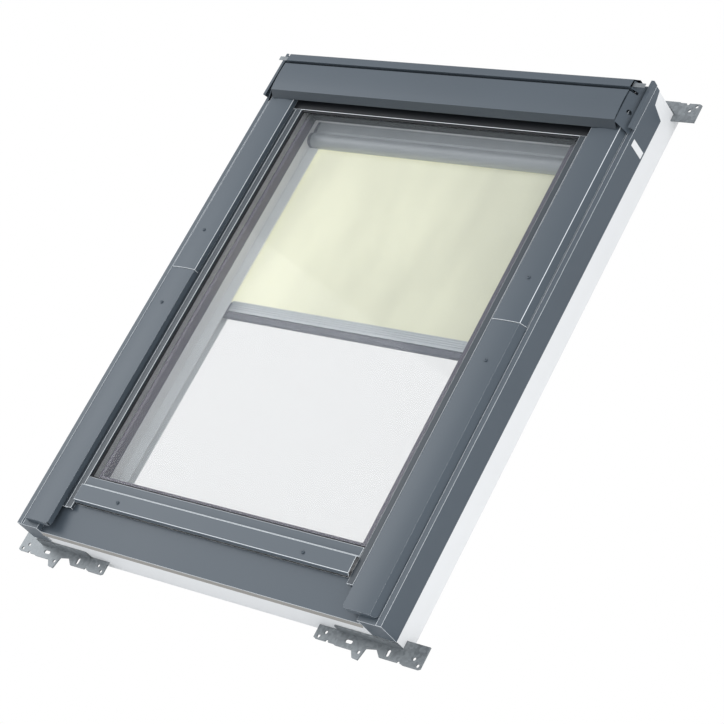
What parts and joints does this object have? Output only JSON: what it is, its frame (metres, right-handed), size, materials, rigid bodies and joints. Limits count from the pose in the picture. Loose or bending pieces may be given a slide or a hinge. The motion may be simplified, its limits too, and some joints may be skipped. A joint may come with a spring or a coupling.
{
  "type": "skylight window with roller blind",
  "caption": "Centre-pivot roof window: clad frame, pivoting glazed sash, hood, corner brackets and a roller blind behind the glass.",
  "frame": {"origin": "centre of the rectangle round the part, on the plane of the frame's underside (room side)", "axes": "+Z out of the roof through the glass, +Y up the roof slope towards the hood, +X across the window"},
  "size_m": [0.864, 1.0482, 0.12],
  "materials": {
    "cladding": "satin powder coat, blue-grey",
    "white_frame": "smooth white moulded coating over the core",
    "galvanised": "galvanised sheet, slightly mottled",
    "glass": "clear float glass",
    "rubber_seal": "matt black",
    "aluminium": "satin anodised",
    "grey_plastic": "grained dark grey",
    "blind_cloth": "fine woven cream polyester"
  },
  "bodies": {
    "frame": {"frame_left": "white_frame", "frame_right": "white_frame", "frame_bottom": "white_frame", "frame_top": "white_frame", "side_cladding_right": "cladding", "side_cladding_left": "cladding", "bottom_cladding": "cladding", "upper_cover_right": "cladding", "upper_cover_left": "cladding", "hood_panel": "cladding", "hood_back_strip": "cladding", "hood_side_bar_right": "cladding", "hood_side_bar_left": "cladding", "hood_end_right": "cladding", "hood_end_left": "cladding", "bracket_top_right": "galvanised", "bracket_top_left": "galvanised", "bracket_bottom_right": "galvanised", "bracket_bottom_left": "galvanised", "lower_seal_right": "rubber_seal", "upper_seal_right": "rubber_seal", "lower_seal_left": "rubber_seal", "upper_seal_left": "rubber_seal", "hinge_plate_frame_right": "galvanised", "hinge_plate_frame_left": "galvanised"},
    "sash": {"sash_right": "white_frame", "sash_left": "white_frame", "sash_bottom": "white_frame", "sash_top": "white_frame", "inner_pane": "glass", "outer_pane": "glass", "glass_spacer": "aluminium", "glass_strip_right": "cladding", "glass_strip_left": "cladding", "sash_bottom_cover": "cladding", "sash_top_cover": "cladding", "glazing_bead": "rubber_seal", "lower_cover_right": "cladding", "lower_cover_left": "cladding", "hinge_plate_sash_right": "galvanised", "hinge_plate_sash_left": "galvanised", "control_bar_bracket_right": "grey_plastic", "control_bar_bracket_left": "grey_plastic", "guide_rail_right": "aluminium", "guide_rail_left": "aluminium", "cassette": "aluminium", "cassette_cap_right": "grey_plastic", "cassette_cap_left": "grey_plastic", "blind_fabric": "blind_cloth"},
    "control_bar": {"control_bar": "aluminium"},
    "vent_flap": {"vent_flap": "grey_plastic"},
    "blind_bar": {"blind_bar": "aluminium", "blind_grip": "grey_plastic", "blind_shoe_right": "grey_plastic", "blind_shoe_left": "grey_plastic"},
    "blind_roller": {"roller_tube": "aluminium", "fabric_roll": "blind_cloth"}
  },
  "joints": [
    {"name": "sash_pivot", "type": "hinge", "parent": "frame", "child": "sash", "pos_m": [0, 0.025, 0.104], "axis": [-1, 0, 0], "range_deg": [0, 150]},
    {"name": "control_bar_turn", "type": "hinge", "parent": "sash", "child": "control_bar", "pos_m": [0, 0.42, 0.014], "axis": [1, 0, 0], "range_deg": [0, 50]},
    {"name": "vent_flap_turn", "type": "hinge", "parent": "sash", "child": "vent_flap", "pos_m": [0, 0.4325, 0.068], "axis": [1, 0, 0], "range_deg": [0, 9]},
    {"name": "blind_slide", "type": "slide", "parent": "sash", "child": "blind_bar", "axis": [0, 1, 0], "range_m": [-0.352, 0.32], "deforming": ["blind_fabric"]},
    {"name": "roller_turn", "type": "hinge", "parent": "sash", "child": "blind_roller", "pos_m": [0, 0.3509, 0.0421], "axis": [1, 0, 0], "range_deg": [-2525, 2295]}
  ],
  "couplings": [
    {"joint": "vent_flap_turn", "follows": "control_bar_turn", "ratio": 0.18},
    {"joint": "roller_turn", "follows": "blind_slide", "rad_per_m": 125}
  ]
}
